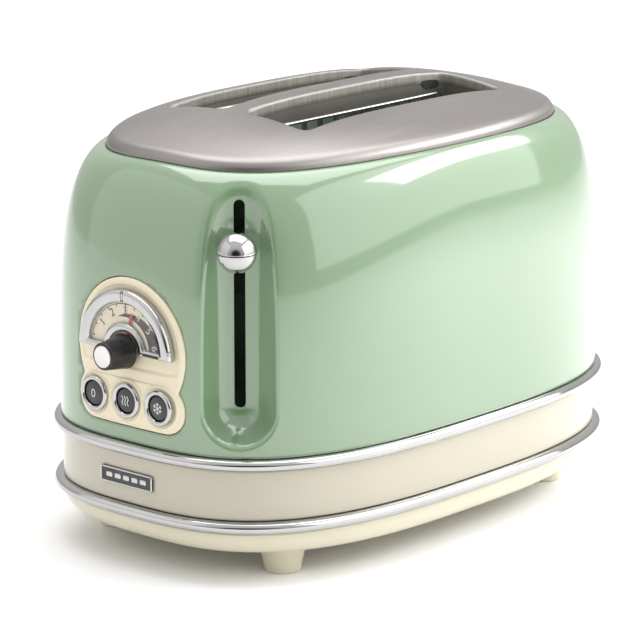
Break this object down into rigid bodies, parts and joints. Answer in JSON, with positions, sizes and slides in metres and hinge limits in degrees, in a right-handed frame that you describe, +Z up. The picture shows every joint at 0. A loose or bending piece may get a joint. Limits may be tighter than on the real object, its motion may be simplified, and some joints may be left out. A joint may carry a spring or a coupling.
{
  "type": "pop up toaster",
  "caption": "Rounded pop-up toaster with a domed steel top, bread slots, a sprung lever, browning dial, push buttons, chrome rings and a slide-out crumb tray.",
  "frame": {"origin": "on the surface the feet stand on, under the middle of the overall length and width", "axes": "+Z up, +X from the control end towards the crumb tray, +Y towards the long side away from the lever"},
  "size_m": [0.321, 0.1986, 0.2161],
  "materials": {
    "green_enamel": "glossy",
    "brushed_steel": "brushed",
    "chrome": "polished",
    "cream_plastic": "satin",
    "panel_cream": "satin",
    "clear_window": "clear",
    "black_plastic": "satin",
    "silver_cap": "satin",
    "red_pointer": "satin",
    "tinplate": "dull",
    "plated_wire": "bright",
    "mica": "matte",
    "circuit_board": "matte",
    "copper": "lacquered",
    "rubber": "matte"
  },
  "bodies": {
    "housing": {"body_shell": "green_enamel", "top_plate": "brushed_steel", "upper_chrome_ring": "chrome", "lower_chrome_ring": "chrome", "base_band": "cream_plastic", "base_pan": "cream_plastic", "foot_front_near": "cream_plastic", "foot_front_far": "cream_plastic", "foot_rear_near": "cream_plastic", "foot_rear_far": "cream_plastic", "control_panel": "panel_cream", "dial_bezel": "chrome", "dial_face": "panel_cream", "dial_lens": "clear_window", "cancel_button_ring": "chrome", "reheat_button_ring": "chrome", "defrost_button_ring": "chrome", "badge_plate": "chrome", "control_board": "circuit_board", "browning_control": "tinplate", "cancel_switch": "black_plastic", "reheat_switch": "black_plastic", "defrost_switch": "black_plastic", "power_board": "circuit_board", "magnet_core": "tinplate", "magnet_coil": "copper", "terminal_block": "black_plastic", "oven_end_front": "tinplate", "oven_end_rear": "tinplate", "reflector_near": "tinplate", "reflector_far": "tinplate", "heater_board_near": "mica", "heater_board_centre": "mica", "heater_board_far": "mica", "guide_rod_near": "plated_wire", "guide_rod_far": "plated_wire", "carriage_spring": "plated_wire", "cord_gland": "rubber"},
    "carriage": {"carriage": "tinplate", "bread_lifter_near": "tinplate", "bread_lifter_far": "tinplate", "lever_arm": "tinplate", "lever_ball_lower": "chrome", "lever_ball_upper": "chrome", "armature": "tinplate"},
    "knob": {"browning_knob": "black_plastic", "knob_cap": "silver_cap", "knob_shaft": "tinplate", "dial_pointer": "red_pointer"},
    "cancel": {"cancel_button": "black_plastic"},
    "reheat": {"reheat_button": "black_plastic"},
    "defrost": {"defrost_button": "black_plastic"},
    "guide_near_outer": {"bread_guide_near_outer": "plated_wire"},
    "guide_near_inner": {"bread_guide_near_inner": "plated_wire"},
    "guide_far_inner": {"bread_guide_far_inner": "plated_wire"},
    "guide_far_outer": {"bread_guide_far_outer": "plated_wire"},
    "tray": {"crumb_tray": "tinplate", "crumb_tray_front": "cream_plastic"}
  },
  "joints": [
    {"name": "carriage_slide", "type": "slide", "parent": "housing", "child": "carriage", "axis": [0, 0, 1], "range_m": [-0.066, 0.015], "stiffness_N_per_m": 60, "springref_m": 0.022, "deforming": ["carriage_spring"]},
    {"name": "knob_turn", "type": "hinge", "parent": "housing", "child": "knob", "pos_m": [-0.1447, 0, 0.1082], "axis": [-1, 0, 0], "range_deg": [-61, 89]},
    {"name": "cancel_press", "type": "slide", "parent": "housing", "child": "cancel", "axis": [1, 0, 0], "range_m": [0, 0.0025], "stiffness_N_per_m": 800},
    {"name": "reheat_press", "type": "slide", "parent": "housing", "child": "reheat", "axis": [1, 0, 0], "range_m": [0, 0.0025], "stiffness_N_per_m": 800},
    {"name": "defrost_press", "type": "slide", "parent": "housing", "child": "defrost", "axis": [1, 0, 0], "range_m": [0, 0.0025], "stiffness_N_per_m": 800},
    {"name": "guide_near_outer_slide", "type": "slide", "parent": "housing", "child": "guide_near_outer", "axis": [0, 1, 0], "range_m": [-0.0015, 0.0062]},
    {"name": "guide_near_inner_slide", "type": "slide", "parent": "housing", "child": "guide_near_inner", "axis": [0, -1, 0], "range_m": [-0.0015, 0.0062]},
    {"name": "guide_far_inner_slide", "type": "slide", "parent": "housing", "child": "guide_far_inner", "axis": [0, 1, 0], "range_m": [-0.0015, 0.0062]},
    {"name": "guide_far_outer_slide", "type": "slide", "parent": "housing", "child": "guide_far_outer", "axis": [0, -1, 0], "range_m": [-0.0015, 0.0062]},
    {"name": "crumb_tray_slide", "type": "slide", "parent": "housing", "child": "tray", "axis": [1, 0, 0], "range_m": [0, 0.25]}
  ],
  "couplings": [
    {"joint": "guide_near_outer_slide", "follows": "carriage_slide", "ratio": -0.09},
    {"joint": "guide_near_inner_slide", "follows": "carriage_slide", "ratio": -0.09},
    {"joint": "guide_far_inner_slide", "follows": "carriage_slide", "ratio": -0.09},
    {"joint": "guide_far_outer_slide", "follows": "carriage_slide", "ratio": -0.09}
  ]
}
